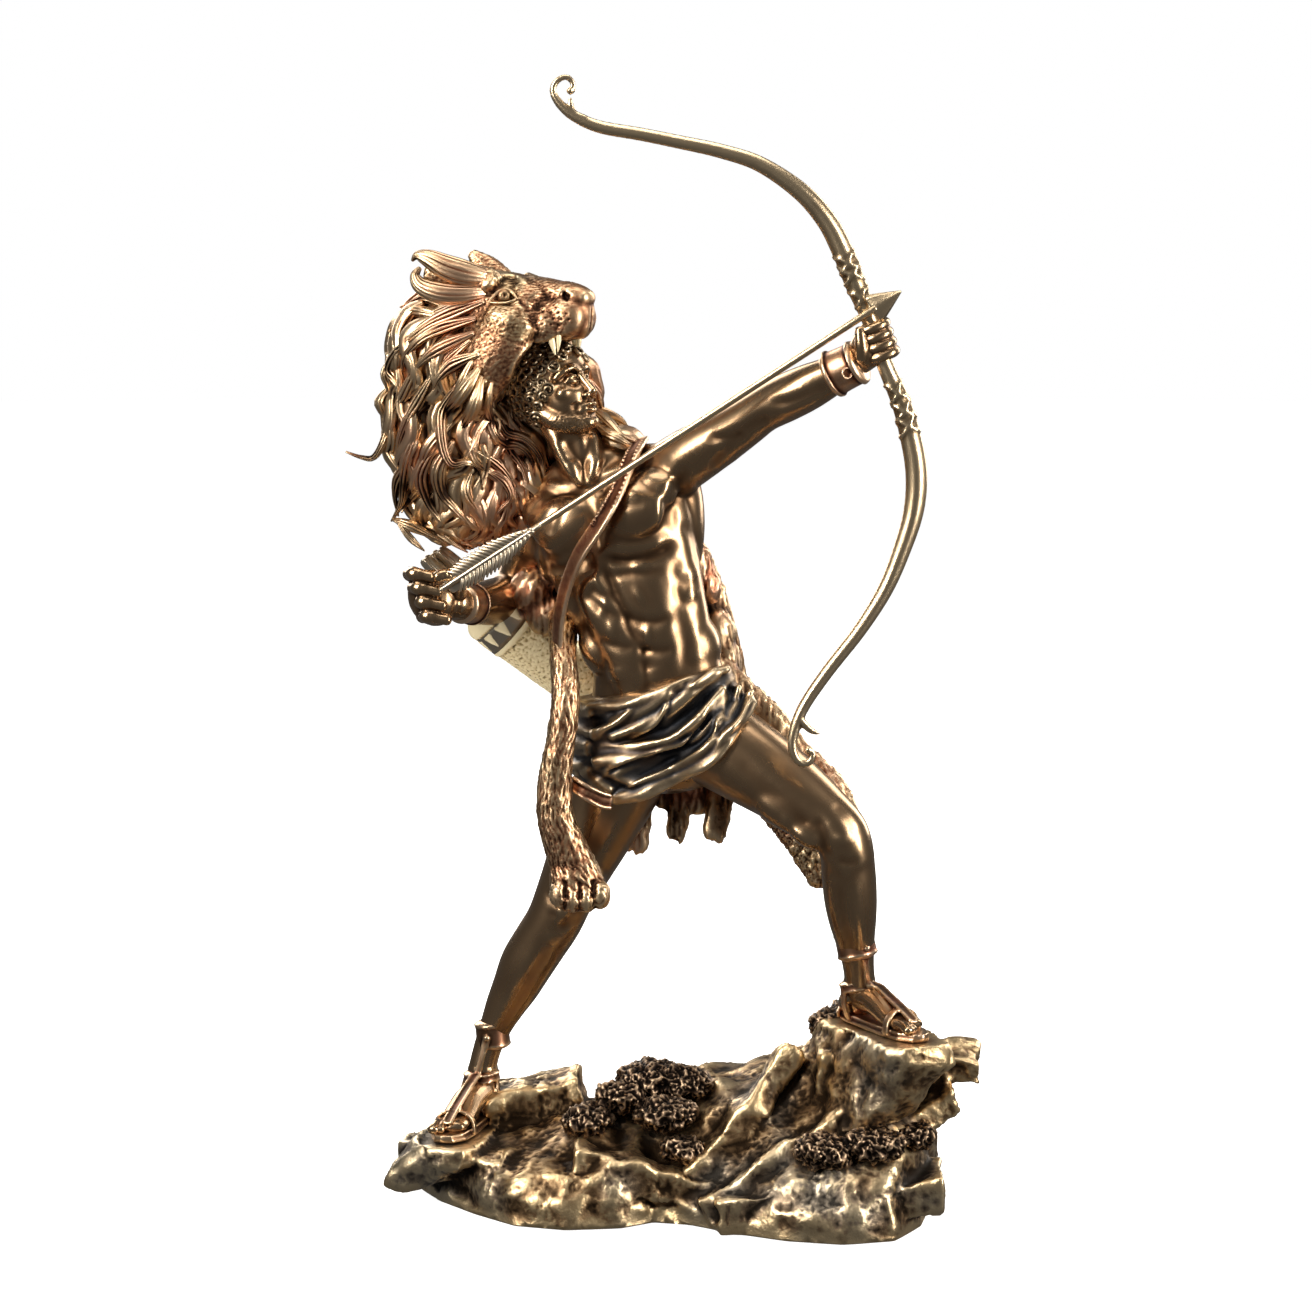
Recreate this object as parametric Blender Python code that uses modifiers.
# A cold-cast bronze statuette: an archer in a lion skin, standing on a rock and drawing a bow.
# Run it with: blender --background --python part.py
#
# +X is the figure's left, -Y is the side that it shows, +Z is up, and the origin is the middle
# of the rock's flat underside. The figure, the rock and the bow are each sculpted from lumps,
# written in millimetres on a statuette whose figure is 295 mm tall, and then brought to size.

import math

import bmesh
import bpy
from mathutils import Matrix, Vector

# Driving sizes, in metres
figureHeight = 0.295       # right sole to the tip of the lion's ear
rightSoleRise = 0.023      # right sole above the ground
rockWidth = 0.187
rockDepth = 0.096
leftLedgeDepth = 0.030     # of the stone under each sandal
rightLedgeDepth = 0.016
bowSpan = 0.232            # straight from the upper tip to the lower one
bowBreadth = 0.0070        # the thickest of its lower limb, as the photo's side shows it
bowFlatness = 0.78         # its depth as a share of its breadth
shaftDiameter = 0.0023
arrowOverhang = 0.0125     # from the bow to the arrow's point, beyond the bow's middle
arrowHeadLength = 0.0115
arrowHeadWidth = 0.0100
arrowHeadThickness = 0.0018
vaneLength = 0.034
vaneWidth = 0.0092
vaneThickness = 0.0014
fitGap = 0.0003            # between pieces that touch

# How finely the clay is fused, and how many faces are kept
figureVoxel = 0.0010
rockVoxel = 0.0016
figureFaces = 6150
rockFaces = 1700

# The sizes on which the points below are written, in millimetres
modelHeight = 295.0
modelSole = 23.0
modelBowSpan = 232.0
modelRockWidth = 187.0
modelRockDepth = 96.0
figureUnit = figureHeight / modelHeight
bowUnit = bowSpan / modelBowSpan


def at(x, y, z):
    return Vector((x, y, z - modelSole)) * figureUnit + Vector((0, 0, rightSoleRise))


def clearScene():
    for old in list(bpy.data.objects):
        bpy.data.objects.remove(old, do_unlink=True)


def newCollection(name):
    collection = bpy.data.collections.new(name)
    bpy.context.scene.collection.children.link(collection)
    return collection


def newMaterial(name, colour, roughness, metallic):
    material = bpy.data.materials.new(name)
    material.use_nodes = True
    shader = material.node_tree.nodes["Principled BSDF"]
    shader.inputs["Base Color"].default_value = (*colour, 1)
    shader.inputs["Roughness"].default_value = roughness
    shader.inputs["Metallic"].default_value = metallic
    material.diffuse_color = (*colour, 1)
    return material


# Lumps of clay: each adds one closed shape to a bmesh

def smoothRow(rows, steps):
    # A Catmull-Rom curve through rows of numbers of any length
    out = []
    last = len(rows) - 1
    for i in range(last):
        a = rows[max(i - 1, 0)]
        b = rows[i]
        c = rows[i + 1]
        d = rows[min(i + 2, last)]
        for k in range(steps):
            t = k / steps
            out.append([0.5 * (2 * q + (r - p) * t + (2 * p - 5 * q + 4 * r - s) * t * t
                               + (3 * q - p - 3 * r + s) * t ** 3)
                        for p, q, r, s in zip(a, b, c, d)])
    out.append(list(rows[last]))
    return out


def loft(clay, rings, sides):
    # Joins rings of centre, across vector and deep vector, in order, and closes both ends
    loops = []
    for centre, across, deep in rings:
        loops.append([clay.verts.new(centre + across * math.cos(2 * math.pi * k / sides)
                                     + deep * math.sin(2 * math.pi * k / sides))
                      for k in range(sides)])
    faces = []
    for near, far in zip(loops, loops[1:]):
        for k in range(sides):
            j = (k + 1) % sides
            faces.append(clay.faces.new((near[k], near[j], far[j], far[k])))
    faces.append(clay.faces.new(loops[0][::-1]))
    faces.append(clay.faces.new(loops[-1]))
    bmesh.ops.recalc_face_normals(clay, faces=faces)


def sweep(clay, rows, across=(1, 0, 0), sides=12, steps=4, blunt=True):
    # A tube through rows of point, half breadth and half depth. Its breadth lies along `across`.
    # Both ends are rounded off where blunt is set.
    path = smoothRow(rows, steps)
    points = [Vector(row[:3]) for row in path]
    rings = []
    for i, row in enumerate(path):
        ahead = points[min(i + 1, len(points) - 1)] - points[max(i - 1, 0)]
        ahead.normalize()
        wide = Vector(across)
        wide -= ahead * wide.dot(ahead)
        wide.normalize()
        deep = ahead.cross(wide)
        rings.append((points[i], wide * row[3], deep * row[4], ahead, (row[3] + row[4]) / 2))
    out = []
    turns = (80, 55, 28) if blunt else ()
    for angle in turns:
        centre, wide, deep, ahead, size = rings[0]
        a = math.radians(angle)
        out.append((centre - ahead * size * math.sin(a) * 0.7, wide * math.cos(a), deep * math.cos(a)))
    out += [ring[:3] for ring in rings]
    for angle in reversed(turns):
        centre, wide, deep, ahead, size = rings[-1]
        a = math.radians(angle)
        out.append((centre + ahead * size * math.sin(a) * 0.7, wide * math.cos(a), deep * math.cos(a)))
    loft(clay, out, sides)


def limb(clay, rows, across=(1, 0, 0), sides=12, steps=4):
    # A sweep whose rows are in the figure's own millimetres; one size stands for both
    scaled = []
    for row in rows:
        place = at(*row[:3])
        breadth = row[3] * figureUnit
        depth = row[4] * figureUnit if len(row) > 4 else breadth
        scaled.append((*place, breadth, depth))
    sweep(clay, scaled, across, sides, steps)


def frameOf(up, front):
    # Axes of a body part: its left, its back and up, for a part that looks along front
    up = Vector(up).normalized()
    back = -Vector(front)
    back = (back - up * back.dot(up)).normalized()
    left = back.cross(up)
    return Matrix((left, back, up)).transposed()


def ball(clay, place, radii, axes=None):
    # An ellipsoid in the figure's millimetres
    turn = axes if axes else Matrix.Identity(3)
    matrix = Matrix.Translation(at(*place)) @ turn.to_4x4() @ Matrix.Diagonal(
        (*[r * figureUnit for r in radii], 1))
    bmesh.ops.create_uvsphere(clay, u_segments=14, v_segments=9, radius=1, matrix=matrix)


def within(origin, axes, offset):
    # The figure's millimetres of an offset (left, back, up) inside a body part's axes
    return Vector(origin) + axes @ Vector(offset)


def hull(clay, points):
    # Wraps a convex block round some points, in metres
    made = [clay.verts.new(p) for p in points]
    bmesh.ops.convex_hull(clay, input=made)
    spare = [v for v in made if not v.link_faces]
    bmesh.ops.delete(clay, geom=spare, context="VERTS")


def meshOf(clay, name):
    mesh = bpy.data.meshes.new(name)
    clay.to_mesh(mesh)
    clay.free()
    return mesh


def applied(thing):
    # The object's mesh with its modifiers taken in
    graph = bpy.context.evaluated_depsgraph_get()
    mesh = bpy.data.meshes.new_from_object(thing.evaluated_get(graph))
    thing.modifiers.clear()
    old = thing.data
    thing.data = mesh
    bpy.data.meshes.remove(old)


def largestPiece(mesh):
    # Drops crumbs that the fusing left loose
    work = bmesh.new()
    work.from_mesh(mesh)
    left = set(work.verts)
    groups = []
    while left:
        seed = left.pop()
        group = [seed]
        queue = [seed]
        while queue:
            for edge in queue.pop().link_edges:
                for other in edge.verts:
                    if other in left:
                        left.remove(other)
                        group.append(other)
                        queue.append(other)
        groups.append(group)
    groups.sort(key=len)
    for group in groups[:-1]:
        bmesh.ops.delete(work, geom=group, context="VERTS")
    work.to_mesh(mesh)
    work.free()


def fused(clay, name, collection, material, voxel, softness, faces):
    # Fuses lumps into one skin, softens it and keeps about the given number of faces
    thing = bpy.data.objects.new(name, meshOf(clay, name))
    collection.objects.link(thing)
    fuse = thing.modifiers.new("Fuse", "REMESH")
    fuse.mode = "VOXEL"
    fuse.voxel_size = voxel
    soften = thing.modifiers.new("Soften", "SMOOTH")
    soften.factor = 0.5
    soften.iterations = softness
    applied(thing)
    largestPiece(thing.data)
    thing.data.calc_loop_triangles()
    thin = thing.modifiers.new("Thin out", "DECIMATE")
    thin.ratio = faces / len(thing.data.loop_triangles)
    thin.use_collapse_triangulate = True
    applied(thing)
    thing.data.materials.clear()
    thing.data.materials.append(material)
    return thing


def cut(thing, cutter):
    tool = thing.modifiers.new("Clear " + cutter.name, "BOOLEAN")
    tool.operation = "DIFFERENCE"
    tool.solver = "EXACT"
    tool.object = cutter


# Places that more than one piece is tied to, in the figure's millimetres
bowGrip = (58.6, -38.0, 290.0)
bowLean = Vector((-0.336, 0, 0.942))
bowAhead = Vector((0.942, 0, 0.336))
drawHand = (-81.5, -17.5, 208.8)
restAboveGrip = 9.6
shareAtRest = 0.86       # the bow's thickness there, as a share of its greatest

# The soles: heel, toe, half width and level
leftSole = ((54.5, 2, 63.0), (73.0, -29, 63.0), 6.6)
rightSole = ((-70.5, 26, 23.0), (-81.0, -6, 23.0), 6.9)
soleThickness = 2.6
footRoomSpare = 1.6      # how far the rock stays from the side of a foot
footRoomHeight = 26


def soleOutline(sole, grow, level):
    # The outline of a sandal's sole, as points in metres at a level in the figure's millimetres
    heel, toe, half = Vector(sole[0]), Vector(sole[1]), sole[2]
    along = (toe - heel).normalized()
    side = along.cross(Vector((0, 0, 1)))
    length = (toe - heel).length
    points = []
    shape = ((-0.10, 0.0), (-0.06, 0.55), (0.10, 0.80), (0.40, 0.78), (0.72, 1.0), (0.95, 0.92),
             (1.10, 0.50), (1.13, 0.0))
    for along01, breadth in shape:
        for sign in (1, -1):
            reach = length * along01 + math.copysign(grow, along01 - 0.5)
            p = heel + along * reach + side * sign * (half * breadth + grow)
            points.append(at(p.x, p.y, level))
    return points


# The body

thorax = frameOf((-0.21, 0.07, 0.976), (-0.37, -0.93, 0))
thoraxMiddle = (-25.5, 1.0, 229)
loins = frameOf((-0.36, 0.10, 0.93), (-0.10, -0.99, 0))
skull = frameOf((-0.28, 0.196, 0.94), (0.77, -0.54, 0.342))
headMiddle = (-44.5, 1.0, 272.0)
lionAxes = frameOf((0.05, 0.0, 1.0), (0.88, -0.46, -0.04))
lionMiddle = (-61.6, 4.0, 297.6)


def addTorso(clay):
    rows = ((-31, 3, 247, 12, 9), (-28.5, 3, 242, 22, 12), (-26, 2, 234, 25.5, 15),
            (-24, 1, 226, 26.2, 16), (-21.5, 0.5, 216, 25.3, 15.6), (-17.8, -1, 205, 23.6, 14.8),
            (-14.6, -2, 196, 21.8, 13.8), (-12.4, -2, 187, 21, 13.4), (-10.4, -1, 178, 22.5, 14.5),
            (-9, 1, 169, 25, 16.5), (-8.5, 2, 160, 25.5, 17), (-8.5, 2, 152, 22, 15))
    limb(clay, rows, across=(0.97, -0.24, 0), sides=20)
    chest = thoraxMiddle
    for side in (1, -1):
        ball(clay, within(chest, thorax, (side * 11.5, -11.5, 3.0)), (12.5, 6.2, 9.6), thorax)
        ball(clay, within(chest, thorax, (side * 19, -7, 8)), (9, 6.5, 7.5), thorax)
        for k in range(3):
            ball(clay, within(chest, thorax, (side * (23.5 - k), -7 + k, -8 - 6 * k)),
                 (3.6, 4.8, 2.7), thorax)
    # The latissimus under each raised arm
    ball(clay, (-1.5, 3, 229), (6.5, 9, 21))
    ball(clay, (-45.5, 9, 225), (6.5, 8, 17))
    # The arch of the ribs and four rows of the abdomen
    middle = ((-28.3, 215.5), (-23.5, 208.0), (-18.7, 199.5), (-14.0, 186.5))
    for row, (x, z) in enumerate(middle):
        size = (5.6, 3.2, 4.4 + (3.2 if row == 3 else 0))
        ball(clay, (x + 5.2, -14.6, z + 1.2), size, loins)
        ball(clay, (x - 5.0, -12.6, z - 1.6), size, loins)
    ball(clay, (3.6, -4, 193), (6.8, 9.0, 10.0), loins)
    ball(clay, (-29.5, -2, 188), (6.8, 9.0, 10.0), loins)
    # Buttocks
    ball(clay, (2, 11, 158), (12.5, 11, 13))
    ball(clay, (-19, 13, 157), (12.5, 11, 13))


def addNeckAndHead(clay):
    limb(clay, ((-31, 4, 240, 9.5), (-34.5, 2.5, 249, 8.6), (-39, 2, 258, 8.2), (-43, 3, 266, 8.6)))
    # The strap muscles of the neck and the slope to each shoulder
    limb(clay, ((-37, -9, 246, 1.8), (-44, -6, 257, 2.6), (-50, 3, 266, 2.4)), steps=3)
    limb(clay, ((-34, 4, 250, 6), (-20, 3, 249, 6.5), (-6, -3, 250, 6)), steps=3)
    limb(clay, ((-36, 6, 248, 6), (-43, 8, 242, 7)), steps=3)
    head = headMiddle
    ball(clay, within(head, skull, (0, 2.2, 3.8)), (11.4, 14, 13.4), skull)
    ball(clay, within(head, skull, (0, -5.2, -4.5)), (8.8, 8.6, 11.2), skull)
    ball(clay, within(head, skull, (0, -10.2, -12.6)), (4.4, 3.8, 3.8), skull)
    ball(clay, within(head, skull, (0, -11.8, 3.6)), (7.6, 2.6, 1.9), skull)
    ball(clay, within(head, skull, (0, -13.4, -2.4)), (1.9, 2.6, 4.4), skull)
    ball(clay, within(head, skull, (0, -12.4, -7.8)), (3.6, 2.4, 1.5), skull)
    for side in (1, -1):
        ball(clay, within(head, skull, (side * 5.8, -9.2, -2.2)), (3.2, 3.0, 2.9), skull)
        ball(clay, within(head, skull, (side * 10.6, 1.5, -1.0)), (1.5, 2.6, 4.0), skull)
    # Curls round the brow and temples
    for k in range(7):
        angle = math.radians(-100 + 200 * k / 6)
        spot = (10.6 * math.sin(angle), -8.0 + 4.5 * abs(math.sin(angle)), 9.5 * math.cos(angle) + 1.5)
        ball(clay, within(head, skull, spot), (3.1, 3.1, 3.1), skull)


def addArms(clay):
    # The left arm, straight out to the bow
    limb(clay, ((-8, -2, 246, 10), (-1, -8, 251, 9.8), (9, -13, 257.5, 8.8), (17.5, -18, 263.4, 7.9),
                (23, -21.5, 267.5, 7.4), (29.5, -25, 271.2, 7.8), (37, -29, 275, 7.5),
                (44, -32, 278.6, 6.4), (50, -34.5, 282, 5.2), (54, -36.3, 284.4, 4.6)), sides=14)
    ball(clay, (-1, -8, 251.5), (9.5, 9, 9.5))
    ball(clay, (10, -13.0, 254.0), (9, 6.2, 5.6), frameOf((-0.5, 0, 0.86), (-0.4, -0.9, 0)))
    ball(clay, (30, -25.5, 271.2), (8, 6.2, 6.0), frameOf((-0.5, 0, 0.86), (-0.4, -0.9, 0)))
    # Its cuff
    limb(clay, ((44.6, -31.9, 279.2, 7.6, 7.4), (52.6, -35.3, 283.2, 7.2, 7.0)), across=(0, 1, 0), steps=1)
    # The right arm, drawn back with its elbow behind the trunk
    limb(clay, ((-34, 5, 238, 10), (-41, 8, 236, 10.4), (-47, 14, 228, 9.3), (-52.5, 20, 218, 8.2),
                (-57.5, 25, 208.5, 7.4), (-61, 22, 203.2, 7.6), (-66, 12, 202, 7.8),
                (-71.5, 2, 202.5, 6.6), (-76, -6, 203.4, 5.4)), sides=14)
    ball(clay, (-42.5, 8, 236.5), (9.8, 10, 9.8))
    limb(clay, ((-72.3, 1, 202.5, 7.3), (-74.3, -3.2, 202.9, 7.0)), steps=1)


def addLeftHand(clay):
    # A fist round the bow: four fingers from the far side past the front, and the thumb
    grip = Vector(bowGrip)
    toViewer = Vector((0, -1, 0))
    reach = 4.3
    ball(clay, grip - bowAhead * 4.8 - bowLean * 1.5, (4.6, 5.2, 6.4), frameOf(bowLean, (0, -1, 0)))
    limb(clay, ((52.5, -35.6, 283.4, 4.8, 4.6), (57, -37.5, 287, 5.0, 4.8)), steps=2)
    for finger in range(4):
        height = 4.8 - 3.1 * finger
        rows = []
        for angle in (-125, -85, -45, 0, 45, 90, 130, 160):
            a = math.radians(angle)
            p = grip + bowLean * (height - 0.4 * math.sin(a)) + (bowAhead * math.cos(a)
                                                                 + toViewer * math.sin(a)) * reach
            rows.append((*p, 1.85, 1.85))
        limb(clay, rows, across=bowLean, sides=8, steps=1)
    thumb = (grip - bowAhead * 6.5 + toViewer * 2.5 - bowLean * 3, grip - bowAhead * 5.4 + toViewer * 3.6,
             grip - bowAhead * 4.6 + toViewer * 3.4 + bowLean * 5)
    limb(clay, [(*p, 2.1, 2.1) for p in thumb], across=bowAhead, sides=8, steps=2)


def addRightHand(clay):
    # The drawing hand, closed on the end of the arrow
    knuckles = Vector((-87.5, -11.5, 209.5))
    ball(clay, (-84.3, -8.5, 205.8), (8.6, 7.4, 9.8), frameOf((-0.35, 0, 0.94), (-0.3, -0.95, 0)))
    for finger in range(4):
        root = knuckles + Vector((-4.0 + 1.4 * finger, 2, 4.0 - 4.6 * finger))
        bend = root + Vector((2.0, -7.0, 0.8))
        tip = bend + Vector((6.6, -0.6, -1.2))
        limb(clay, ((*root, 2.4, 2.4), (*bend, 2.3, 2.3), (*tip, 2.1, 2.1)), sides=8, steps=2)
    limb(clay, ((-76, -8, 207, 2.8), (-76, -14, 212, 2.5), (-80, -17, 214, 2.2)), sides=8, steps=2)


def addLegs(clay):
    # The left leg, bent, forward and up on the rock
    limb(clay, ((-2, 0, 160, 15.5), (8, -4, 157.5, 15.2), (19, -9, 151.5, 14.2), (31, -13.5, 144, 12.6),
                (42, -18, 136, 10.6), (49, -21.5, 129.5, 9.4), (51.6, -21, 121, 8.8)), sides=16)
    limb(clay, ((50.8, -20.5, 127, 8.6), (51.6, -19.8, 118, 9.0), (52.6, -17.2, 107, 8.8),
                (53.6, -14.2, 98.6, 7.8), (54.8, -11, 90.6, 6.3), (55.9, -8.5, 82.6, 5.3),
                (56.6, -5.5, 75, 5.4), (56.4, -1.5, 69, 5.6)), sides=14)
    ball(clay, (50.2, -27.0, 127.6), (5.2, 3.8, 5.6))
    ball(clay, (30, -19, 139.5), (15, 7.5, 8.0), frameOf((0.56, 0, 0.83), (-0.3, -0.95, 0)))
    ball(clay, (51.5, -9.5, 110), (7, 6.4, 12))
    # The right leg, straight, back and down
    limb(clay, ((-17, 5, 158, 15.5), (-22.5, 6, 145, 15), (-29, 8, 131, 13.8), (-35.5, 10, 117, 12),
                (-41.3, 12, 104, 10.2), (-45.5, 13.5, 94, 9.6), (-50.3, 16, 86, 9.4), (-55, 18.5, 78, 9.2),
                (-58.7, 21, 70, 8.2), (-62.6, 22.3, 62.5, 6.9), (-66, 23, 55, 5.6), (-69, 23, 47, 4.9),
                (-70.6, 23, 40, 5.0), (-71, 24, 33, 5.5)), sides=16)
    ball(clay, (-42.6, 5.6, 99.5), (5.4, 4.0, 6.0))
    ball(clay, (-57, 24, 77), (7.4, 6.2, 13), frameOf((0.42, -0.2, 0.88), (-0.3, -0.95, 0)))


def addFoot(clay, sole, ankle):
    heel, toe, half = Vector(sole[0]), Vector(sole[1]), sole[2]
    level = heel.z
    hull(clay, soleOutline(sole, 0, level) + soleOutline(sole, -0.3, level + soleThickness))
    up = Vector((0, 0, 1))
    along = toe - heel
    instep = heel + along * 0.42 + up * 8.5
    ball(clay, heel + along * 0.02 + up * 5, (half * 0.78, half * 0.9, 5.2))
    limb(clay, ((*ankle, 5.4, 5.4), (*instep, 5.6, 4.8), (*(heel + along * 0.72 + up * 4.9), 6.1, 3.6),
                (*(heel + along * 0.98 + up * 4.0), 5.4, 2.6)),
         across=along.cross(up), sides=12, steps=3)
    side = along.cross(up).normalized()
    for k in range(5):
        spot = heel + along * (1.06 - 0.028 * k * k) + side * half * (0.62 - 0.31 * k) + up * 3.9
        size = 2.0 - 0.18 * k
        ball(clay, spot, (size, size * 1.25, size * 0.95))


def addSandals(clay):
    addFoot(clay, leftSole, (56.6, -4, 73))
    addFoot(clay, rightSole, (-70.8, 22, 34))
    # Bands at both ankles
    for place, size in (((54.9, -10.6, 89.5), 6.9), ((56.3, -7.4, 79.5), 6.0),
                        ((-68.2, 22.8, 49.5), 6.2), ((-70.8, 23, 38), 6.1)):
        ball(clay, place, (size, size, 1.6), frameOf((-0.2, 0.1, 0.97), (0, -1, 0)))


# Cloth and pelt

def addLoincloth(clay):
    # Folds that fan out from the knot over the left hip to the right side, one under another
    knot = Vector((17, -13.5, 172))
    folds = 9
    for k in range(folds):
        t = k / (folds - 1)
        end = Vector((-37.5 + 2.5 * t, -9 + 2 * t, 172 - 30.5 * t))
        middle = Vector((-13 + 5 * t, -20.5 - 1.6 * math.sin(math.pi * t), 173.2 - 27 * t ** 1.25))
        start = knot + Vector((1.5 - 2 * t, 0, 4 - 10 * t))
        limb(clay, ((*start, 3.0, 2.6), (*middle, 3.3 + 0.9 * (k % 2), 2.4), (*end, 3.2, 2.4)),
             across=(0.2, 0, 1), sides=10, steps=4)
        behind = Vector((-32, 10, end.z - 1))
        limb(clay, ((*end, 3.2, 2.4), (-38, 1, end.z - 0.5, 3.2, 2.4), (*behind, 3.2, 2.4)),
             across=(0, 0, 1), sides=10, steps=3)
    limb(clay, ((16, -12, 178, 5, 4), (20, -10, 173.5, 5.5, 4.5), (19, -10, 167, 4, 3.4)),
         across=(0, 1, 0), sides=10, steps=3)
    limb(clay, ((-8, 3, 174, 27, 19), (-9, 3, 166, 28, 20), (-11, 3, 158, 27, 19.5)),
         across=(1, 0, 0.25), sides=20, steps=2)


def addPelt(clay):
    # The cape down the back, with its scalloped hem
    limb(clay, ((-42, 22, 246, 16, 5), (-30, 20, 228, 24, 5), (-17, 18, 208, 26, 5), (-7, 17, 188, 24, 4.6),
                (-3, 20, 166, 24, 4.5), (-2, 20, 144, 22, 4), (-3, 17, 128, 17, 3)),
         across=(0.97, 0.1, 0.2), sides=14, steps=4)
    for top, tip, size in (((-15, 16, 136), (-18.2, 10, 113), 6.0), ((-2, 18, 134), (-0.4, 12, 114.5), 4.8),
                           ((10, 17, 138), (9.4, 12, 115.5), 5.4), ((18, 14, 146), (17.5, 9, 133), 5)):
        middle = (Vector(top) + Vector(tip)) / 2
        limb(clay, ((*top, size, 3.4), (*middle, size, 3.0), (*tip, size * 0.75, 2.4)), sides=10, steps=3)
    # Its left edge, which shows beside the trunk
    for spot, size in (((2.5, 12, 214), 5.2), ((6.5, 12, 207), 4.2), ((9.6, 14, 191), 6.0),
                       ((12, 13, 181), 6)):
        ball(clay, spot, (size, size, size * 1.5))
    # The hind leg over the back of the left thigh, down to its paw
    limb(clay, ((9, 8, 178, 7, 4), (20, 5, 168.5, 6.5, 4), (33, 2, 154.5, 6.5, 3.6),
                (46, -3, 140.5, 6, 3.4), (53, -7, 130, 5.4, 3.4)), across=(0.7, 0, 0.7), sides=10, steps=3)
    limb(clay, ((16, 7, 152, 9, 4), (27, 5, 140, 8.6, 4), (36, 3, 127.5, 7.4, 4), (42, 2, 117, 6.4, 4.4),
                (45.5, 2, 109.5, 5.6, 4.6)), across=(0.8, 0, 0.6), sides=10, steps=3)
    # The foreleg that hangs before the right hip, and its paw
    limb(clay, ((-42, 6, 198, 5, 4.5), (-41.6, -9, 186, 4.4, 4), (-40.6, -16, 173, 4.7, 4),
                (-42.2, -17.5, 160, 4.8, 4), (-44.2, -18, 146, 5.6, 4), (-43.6, -18.5, 133, 6.2, 4.6),
                (-38.4, -18, 118.5, 7.6, 5)), sides=12, steps=4)
    for k in range(4):
        x = -43.2 + 4.9 * k
        limb(clay, ((x + 1, -18.5, 116, 2.8, 3.4), (x + 0.4, -21, 109, 2.9, 3.4),
                    (x + 0.6, -20.5, 104.2 + 0.8 * abs(k - 1.5), 2.4, 2.8)), sides=8, steps=2)


def addLionHead(clay):
    def spot(left, back, up):
        return within(lionMiddle, lionAxes, (left, back, up))
    ball(clay, spot(0, 0, 1), (17.5, 20, 13.2), lionAxes)
    ball(clay, spot(0, -12, 4.6), (11, 13, 8.6), lionAxes)
    ball(clay, spot(0, -21, 1.2), (8.4, 12.5, 7.6), lionAxes)
    ball(clay, spot(0, -29, 1.0), (7.0, 5.6, 6.6), lionAxes)
    ball(clay, spot(0, -32.2, 4.0), (4.0, 2.8, 3.2), lionAxes)
    for side in (1, -1):
        ball(clay, spot(side * 5.2, -26, -4.2), (5.6, 8.8, 6.2), lionAxes)
        ball(clay, spot(side * 9.2, -11, 7.0), (4.6, 5.4, 3.0), lionAxes)
        ball(clay, spot(side * 13, -5, -6), (6.6, 11, 10), lionAxes)
        fang = (*spot(side * 6.6, -24.0, -7.0), 1.7, 1.7)
        point = (*spot(side * 6.4, -23.6, -13.6), 0.9, 0.9)
        limb(clay, (fang, point), sides=8, steps=2)
    # The cheek that runs down to the jaw beside the man's head
    limb(clay, ((-67, -7, 288, 11, 9), (-70, -6.5, 277, 11, 8.5), (-71, -5, 266, 9.5, 7),
                (-71, -3, 256, 7, 5)), across=(0.94, -0.34, 0), sides=12)
    # Ears laid back, tips up
    limb(clay, ((-70, -6, 304, 6, 3.4), (-79, -7, 310.5, 6.2, 3), (-88.4, -6, 316.2, 2.2, 1.6)),
         across=(0.3, 0.2, -0.9), sides=10)
    limb(clay, ((-66, 20, 305, 6, 3.4), (-71, 22, 312, 5, 3), (-74, 23, 315.6, 2, 1.6)),
         across=(0.8, 0.2, 0.4), sides=10)


def addLock(clay, root, tip, size, wave, lean):
    # A curling lock: an S from root to tip that swings sideways by wave
    root, tip = Vector(root), Vector(tip)
    swing = (tip - root).cross(Vector(lean)).normalized() * wave
    rows = []
    for t, share in ((0, 0.75), (0.25, 1.0), (0.5, 0.95), (0.75, 0.7), (1.0, 0.3)):
        p = root.lerp(tip, t) + swing * math.sin(2 * math.pi * t)
        rows.append((*p, size * share, size * share * 0.62))
    limb(clay, rows, across=tuple(Vector(lean).cross(tip - root)), sides=8, steps=3)


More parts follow.
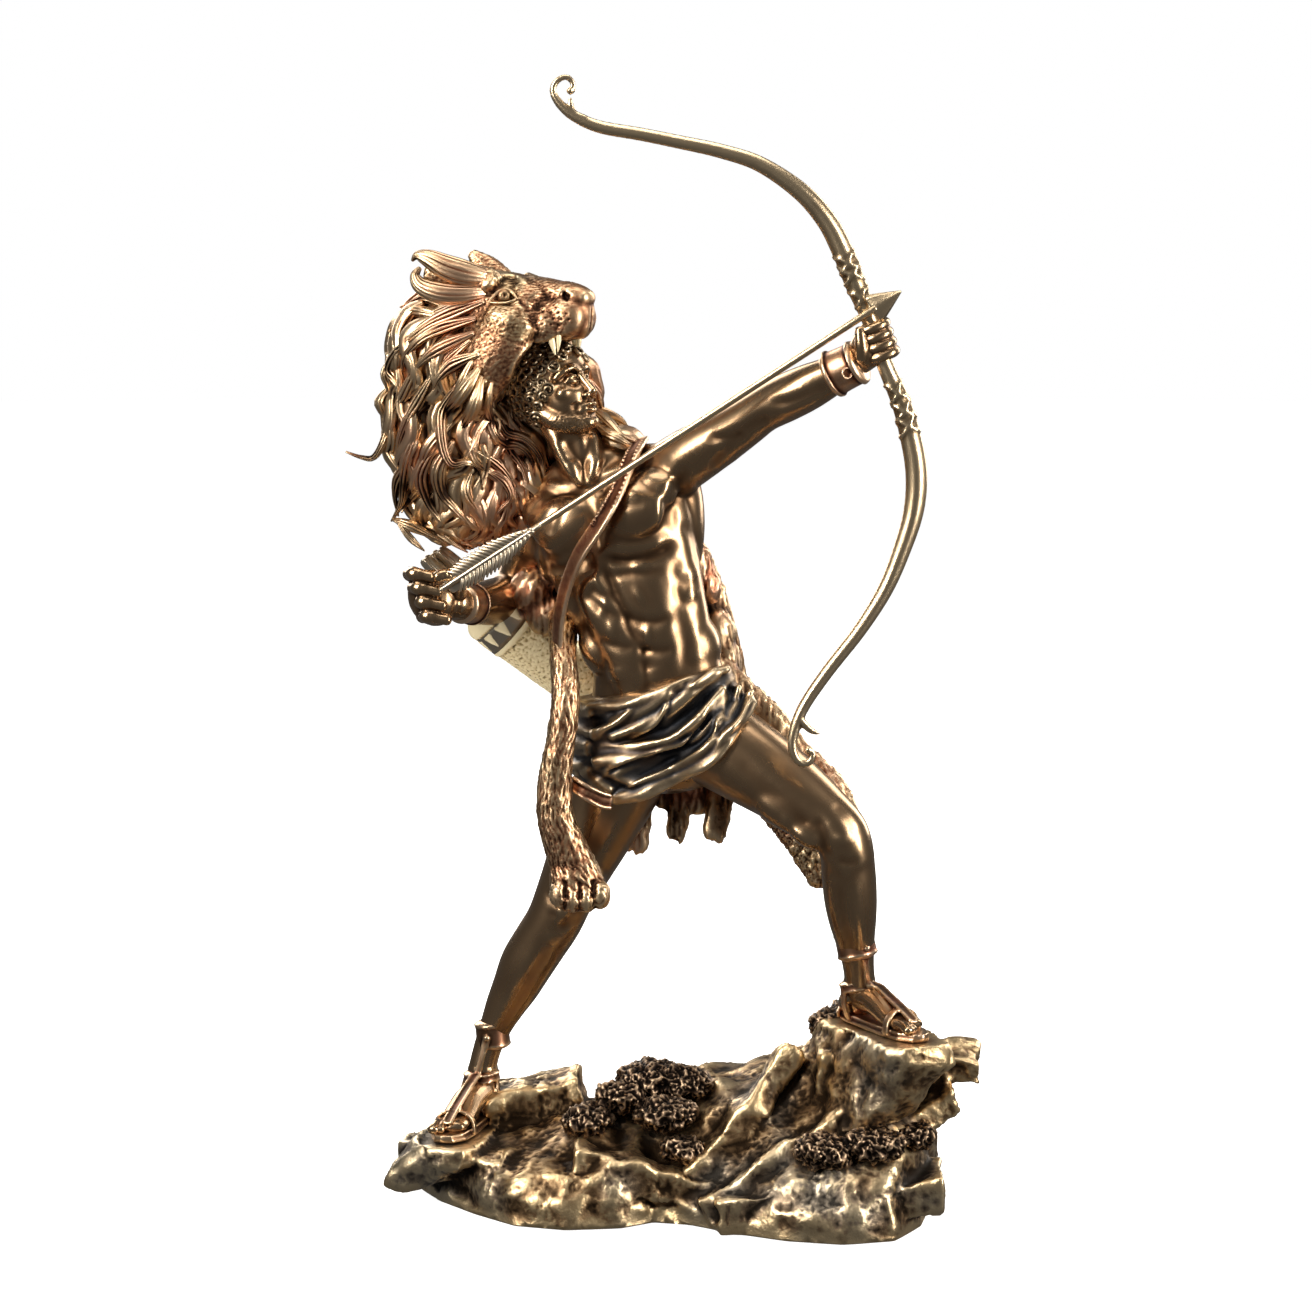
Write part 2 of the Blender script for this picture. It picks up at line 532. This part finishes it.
def addMane(clay):
    ball(clay, (-78, 12, 283), (21, 22, 24))
    ball(clay, (-80, 13, 262), (21, 19, 26))
    ball(clay, (-74, 15, 242), (20, 15, 20))
    ball(clay, (-52, 19, 266), (20, 13, 26))
    ball(clay, (-33, 16, 252), (14, 9, 12))
    ball(clay, (-22, 5, 255), (9, 7, 7.6))
    shown = (0.1, -1.0, 0)
    # Root, tip, half breadth and swing of the locks that show beside the head
    locks = (((-86, -2, 303), (-101, 2, 283), 5.4, 2), ((-80, -8, 292), (-98, -4, 268), 5.6, 3),
             ((-92, 0, 290), (-101, 8, 258), 5.4, 3), ((-76, -10, 278), (-88, -8, 254), 5.8, 4),
             ((-88, -4, 262), (-97, 0, 232), 5.4, -3),
             ((-72, -11, 268), (-76, -10, 240), 5.8, 5), ((-80, -6, 252), (-90, -3, 226), 5.4, 3),
             ((-66, -9, 256), (-64, -8, 232), 5.2, 4), ((-72, -5, 240), (-82, -3, 222), 4.8, -3),
             ((-60, -8, 252), (-50, -9, 236), 4.4, 3), ((-60, -7, 246), (-54, -6, 228), 4.6, -3),
             ((-98, 10, 262), (-98, 10, 226), 5.2, 3), ((-89, 8, 301), (-102, 12, 285), 5.0, 2),
             ((-94, 8, 248), (-99, 7, 229), 4.6, 2), ((-86, 2, 242), (-92, 2, 221), 5.0, -2))
    for root, tip, size, wave in locks:
        addLock(clay, root, tip, size, wave, shown)
    # The lock that flicks out at the side
    limb(clay, ((-97, 6, 268, 4.8, 4), (-101, 7, 257, 4.4, 3.4), (-105.5, 7.5, 251, 3.4, 2.6),
                (-113.2, 8, 250.2, 1.4, 1.2)), across=(1, 0, 0.4), sides=8, steps=3)
    # Locks round the back, from the crown down to the shoulders
    hidden = 7
    for k in range(hidden):
        t = k / (hidden - 1)
        x = -96 + 62 * t
        bulge = math.sin(math.pi * t)
        crown = (x * 0.86 - 2, 26 + 6 * bulge, 288 - 12 * t)
        addLock(clay, crown, (x, 28 + 4 * bulge, 262 - 16 * t), 6.4, 3, (0, 1, 0))
        nape = (x, 28 + 3 * bulge, 266 - 14 * t)
        addLock(clay, nape, (x + 2, 25, 236 - 6 * t), 6.0, -3, (0, 1, 0))
    # Dark locks that fall past the neck on the left side
    addLock(clay, (-32, 4, 266), (-17, 0, 250), 4.4, 2, shown)
    addLock(clay, (-36, 8, 270), (-26, 6, 252), 4.8, 2, shown)


def addQuiver(clay):
    # A tapered case that slants across the back, open end low behind the drawing arm
    mouth, end = Vector((-66, 20, 198.5)), Vector((-26, 26, 165))
    along = (end - mouth).normalized()
    limb(clay, ((*mouth, 11.0, 10), (*(mouth + along * 3), 11.2, 10.2), (*(mouth + along * 18), 10.6, 9.6),
                (*(mouth + along * 40), 8.6, 8)), across=(0.64, 0, 0.76), sides=16, steps=3)
    # Fur tucked round it, between the arm and the trunk
    for x, z, size in ((-52, 206, 8), (-47, 198, 8), (-44, 212, 7)):
        ball(clay, (x, 14, z), (size, 8, size))
    for k in range(4):
        root = mouth + Vector((2.4 * k - 5, -5 + 2.4 * (k % 2), 3 * (k % 3)))
        tip = root + Vector((-17, -2, 17.5 - 1.6 * k))
        limb(clay, ((*root, 1.5, 1.5), (*tip, 2.4, 1.4)), sides=8, steps=2)


def addStrap(clay):
    # From the left shoulder over the breastbone to the right hip
    rows = ((-16, -2, 258), (-18.6, -12.5, 252), (-24, -19.6, 240), (-29.5, -21.2, 231), (-36, -19, 221),
            (-40.4, -13.5, 210), (-43.4, -9, 198), (-44, -6, 188))
    limb(clay, [(*row, 2.4, 1.7) for row in rows], across=(0.9, -0.3, 0.35), sides=8, steps=3)


def buildFigure(collection, material):
    clay = bmesh.new()
    addTorso(clay)
    addNeckAndHead(clay)
    addArms(clay)
    addLeftHand(clay)
    addRightHand(clay)
    addLegs(clay)
    addSandals(clay)
    addLoincloth(clay)
    addPelt(clay)
    addLionHead(clay)
    addMane(clay)
    addQuiver(clay)
    addStrap(clay)
    return fused(clay, "hercules_figure", collection, material, figureVoxel, 3, figureFaces)


# The bow and the arrow

def bowRows(grow):
    # Points along the bow from its upper curl to its lower one, from the grip, in model
    # millimetres, with its share of the full breadth
    shape = ((-96.0, 77.4, 0.26), (-95.7, 80.1, 0.26), (-97.9, 82.0, 0.28), (-101.0, 80.5, 0.30),
             (-101.9, 77.4, 0.34), (-99.8, 73.7, 0.42), (-95.4, 70.0, 0.50), (-87.3, 66.6, 0.58),
             (-74.8, 64.4, 0.60), (-62.3, 61.9, 0.62), (-49.8, 59.2, 0.66), (-37.3, 55.1, 0.72),
             (-24.7, 46.8, 0.84), (-16.5, 37.8, 0.92), (-11.4, 28.4, 0.98), (-7.0, 17.5, 0.94),
             (-2.5, 6.6, 0.76), (2.4, -7.5, 0.76), (7.2, -18.5, 0.88), (10.1, -28.0, 0.96),
             (12.5, -40.7, 1.0), (11.9, -53.3, 0.94), (8.2, -66.1, 0.82), (3.0, -78.8, 0.72),
             (-4.9, -91.6, 0.64), (-14.7, -104.4, 0.60), (-21.9, -115.0, 0.56), (-25.1, -122.1, 0.52),
             (-26.3, -128.6, 0.46), (-24.7, -133.4, 0.40), (-21.5, -134.7, 0.34), (-19.6, -131.8, 0.30),
             (-21.2, -129.2, 0.26))
    middle = at(*bowGrip)
    half = bowBreadth / 2
    return [(*(middle + Vector((x, 0, z)) * bowUnit), half * share + grow,
             half * share * bowFlatness + grow) for x, z, share in shape]


def spurRows(root, bend, tip):
    # The small leaf that springs from the back of each curl
    middle = at(*bowGrip)
    half = bowBreadth / 2
    return [(*(middle + Vector((x, 0, z)) * bowUnit), half * share, half * share * bowFlatness)
            for (x, z), share in ((root, 0.40), (bend, 0.30), (tip, 0.16))]


def newPiece(clay, name, collection, material=None):
    thing = bpy.data.objects.new(name, meshOf(clay, name))
    collection.objects.link(thing)
    if material:
        thing.data.materials.append(material)
    return thing


def buildBow(collection, cutters, material):
    clay = bmesh.new()
    sweep(clay, bowRows(0), across=(1, 0, 0.02), sides=10, steps=1)
    bow = newPiece(clay, "bow", collection, material)
    spurs = (((-92, 69), (-95.6, 71.0), (-96.4, 75.0)),
             ((-24.6, -119.5), (-20.4, -124.2), (-18.0, -124.6)))
    for k, (root, bend, tip) in enumerate(spurs):
        clay = bmesh.new()
        sweep(clay, spurRows(root, bend, tip), across=(0, 1, 0), sides=8, steps=2)
        spur = newPiece(clay, "spur %d" % (k + 1), cutters)
        join = bow.modifiers.new("Join " + spur.name, "BOOLEAN")
        join.operation = "UNION"
        join.solver = "EXACT"
        join.object = spur
    return bow


def arrowLine():
    # Where the arrow starts, its direction and its whole length
    passing = at(*(Vector(bowGrip) + bowLean * restAboveGrip))
    passing.y -= bowBreadth * bowFlatness * shareAtRest / 2 + shaftDiameter / 2 + fitGap
    start = at(*drawHand)
    along = (passing - start).normalized()
    return start, along, (passing - start).length + arrowOverhang


def arrowRows(grow):
    start, along, length = arrowLine()
    radius = shaftDiameter / 2 + grow
    vaneStart = 0.003
    headStart = length - arrowHeadLength
    head = arrowHeadWidth / 2 + grow
    blade = arrowHeadThickness / 2 + grow
    vane = vaneWidth / 2 + grow
    web = vaneThickness / 2 + grow
    shape = ((-0.002, radius, radius), (vaneStart, radius, radius),
             (vaneStart + 0.0035, vane * 0.86, max(web, radius * 0.8)),
             (vaneStart + 0.010, vane, max(web, radius * 0.8)),
             (vaneStart + vaneLength * 0.75, vane, max(web, radius * 0.8)),
             (vaneStart + vaneLength * 0.93, vane * 0.6, max(web, radius * 0.8)),
             (vaneStart + vaneLength, radius, radius), (headStart - 0.0002 - grow, radius, radius),
             (headStart - grow, head, blade), (length - 0.0006 + grow, 0.0006 + grow, blade * 0.6))
    return [(*(start + along * reach), wide, deep) for reach, wide, deep in shape]


def buildArrow(collection, material):
    clay = bmesh.new()
    sweep(clay, arrowRows(0), across=(-0.5, 0, 0.86), sides=12, steps=1, blunt=False)
    return newPiece(clay, "arrow", collection, material)


def buildCutters(cutters):
    clay = bmesh.new()
    sweep(clay, bowRows(fitGap), across=(1, 0, 0.02), sides=10, steps=1)
    bowRoom = newPiece(clay, "bow room", cutters)
    clay = bmesh.new()
    sweep(clay, arrowRows(fitGap), across=(-0.5, 0, 0.86), sides=12, steps=1, blunt=False)
    arrowRoom = newPiece(clay, "arrow room", cutters)
    clay = bmesh.new()
    grow = fitGap / figureUnit
    for sole in (leftSole, rightSole):
        level = sole[0][2]
        spare = grow + footRoomSpare
        floor = soleOutline(sole, spare, level - grow)
        hull(clay, floor + soleOutline(sole, spare, level + footRoomHeight))
    footRoom = newPiece(clay, "foot room", cutters)
    # Room for the right ankle, round which the rock rises
    clay = bmesh.new()
    limb(clay, ((-71.5, 24.5, 24, 7.2), (-70.5, 24.5, 60, 7.2)), sides=14, steps=1)
    ankleRoom = newPiece(clay, "ankle room", cutters)
    return bowRoom, arrowRoom, (footRoom, ankleRoom)


# The rock

def slab(clay, low, high, breadth, thickness, tilt=0.0, taper=0.75):
    # A slab of rock between two points of its upper edge, in model millimetres
    low, high = Vector(low), Vector(high)
    along = (high - low).normalized()
    outward = Vector((0, -1, 0)) - along * Vector((0, -1, 0)).dot(along)
    outward.normalize()
    under = along.cross(outward).normalized()
    if under.z > 0:
        under = -under
    turn = Matrix.Rotation(math.radians(tilt), 3, along)
    outward = turn @ outward
    under = turn @ under
    points = []
    for end, share in ((low, 1.0), (high, taper)):
        for out, down in ((0, 0), (1, 0.15), (0.92, 1), (-0.1, 1.1), (-0.9, 0.9), (-1, 0.1)):
            points.append(end + outward * out * breadth * share / 2 + under * down * thickness * share)
    hull(clay, [rockAt(*p) for p in points])


def rockAt(x, y, z):
    # Model millimetres to metres: the rock keeps its own width and depth, and its height
    # follows the levels of the two soles
    return Vector((x * rockWidth / modelRockWidth, y * rockDepth / modelRockDepth, at(0, 0, z).z))


def buildRock(collection, material, footRooms):
    clay = bmesh.new()
    # The whole mass, as sections across from the left end to the right end: x, front foot,
    # back foot, height of the front shoulder and of the back shoulder
    sections = ((-91, 14, 30, 9, 12), (-84, 1, 38, 16, 20), (-72, -14, 42, 17, 21), (-58, -28, 44, 15, 22),
                (-41, -33, 45, 16, 27), (-23, -31, 45, 16, 31), (-12, -24, 46, 14, 34),
                (0, -27, 46, 13, 37), (15, -37, 46, 13, 39), (31, -45, 45, 15, 43), (49, -49, 43, 18, 50),
                (66, -45, 38, 22, 54), (76, -28, 32, 28, 54), (82, 0, 22, 24, 48))
    ground = -6
    for near, far in zip(sections, sections[1:]):
        points = []
        for x, front, back, shoulder, crest in (near, far):
            middle = (front + back) / 2
            points += [(x, front, ground), (x, back, ground), (x, front + 1.5, shoulder * 0.55),
                       (x, front + 6, shoulder), (x, middle, crest), (x, back - 5, crest - 2),
                       (x, back, crest * 0.5)]
        hull(clay, [rockAt(*p) for p in points])
    # A ledge under each foot, which widens downwards
    for sole, spread, depth in ((leftSole, 8, leftLedgeDepth), (rightSole, 6, rightLedgeDepth)):
        level = sole[0][2]
        foot = soleOutline(sole, spread, level)
        hull(clay, soleOutline(sole, 5, level) + [p - Vector((0, 0, depth)) for p in foot])
    # Beds of stone that climb to the right
    beds = (((-36, -14, 25), (18, -18, 10), 20, 12, -8, 0.9),
            ((-93, 12, 21), (-58, -6, 20), 24, 12, 0, 0.9),
            ((-60, -12, 12), (-14, -16, 14), 20, 11, 10, 0.8),
            ((-6, -14, 10), (31, 4, 53), 22, 11, -10, 0.85),
            ((2, -22, 9), (68, -16, 50), 22, 12, -12, 0.7),
            ((24, -20, 14), (84, -8, 44), 26, 12, 0, 0.8),
            ((8, -26, 13), (82, -26, 20), 26, 14, 0, 0.9),
            ((44, 2, 56), (97, -2, 54), 30, 15, 0, 0.7),
            ((-70, 26, 33), (-38, 28, 40), 26, 20, 0, 0.8),
            ((60, 4, 60), (78, 2, 56), 30, 22, 0, 0.9))
    for low, high, breadth, thickness, tilt, taper in beds:
        slab(clay, low, high, breadth, thickness, tilt, taper)
    # Clumps of moss
    clumps = ((-13, 8, 40, 9), (-2, 6, 39.5, 8), (-22, 2, 36, 7), (-34, -4, 29, 7), (-8, -6, 32, 8),
              (-2, -14, 22, 6), (48, 8, 60, 6.4), (53, 12, 62, 6), (44, -34, 27, 8), (60, -34, 29, 8),
              (74, -26, 30, 6))
    for x, y, z, size in clumps:
        breadth = size * figureUnit
        shape = Matrix.Diagonal((breadth * 1.25, breadth, breadth * 0.8, 1))
        matrix = Matrix.Translation(rockAt(x, y, z)) @ shape
        bmesh.ops.create_icosphere(clay, subdivisions=2, radius=1, matrix=matrix)
    rock = fused(clay, "rock_base", collection, material, rockVoxel, 1, rockFaces)
    flattenUnderside(rock.data)
    for room in footRooms:
        cut(rock, room)
    return rock


def flattenUnderside(mesh):
    # Cuts the rock off level at the ground and closes the cut
    work = bmesh.new()
    work.from_mesh(mesh)
    everything = list(work.verts) + list(work.edges) + list(work.faces)
    cutLine = bmesh.ops.bisect_plane(work, geom=everything, dist=0.00001, plane_co=(0, 0, 0),
                                     plane_no=(0, 0, -1), clear_outer=True)
    edges = [item for item in cutLine["geom_cut"] if isinstance(item, bmesh.types.BMEdge)]
    bmesh.ops.contextual_create(work, geom=edges)
    work.to_mesh(mesh)
    work.free()


def main():
    clearScene()
    statuette = newCollection("Hercules statue")
    cutters = newCollection("Cutters")
    bronze = newMaterial("Figure bronze", (0.36, 0.22, 0.12), 0.32, 1.0)
    stone = newMaterial("Rock bronze", (0.30, 0.21, 0.12), 0.42, 1.0)
    bowBronze = newMaterial("Bow bronze", (0.52, 0.40, 0.25), 0.3, 1.0)
    arrowBronze = newMaterial("Arrow bronze", (0.50, 0.38, 0.22), 0.3, 1.0)
    bowRoom, arrowRoom, footRooms = buildCutters(cutters)
    figure = buildFigure(statuette, bronze)
    cut(figure, bowRoom)
    cut(figure, arrowRoom)
    buildBow(statuette, cutters, bowBronze)
    buildArrow(statuette, arrowBronze)
    buildRock(statuette, stone, footRooms)
    for helper in cutters.objects:
        helper.hide_render = True
        helper.display_type = "WIRE"


main()
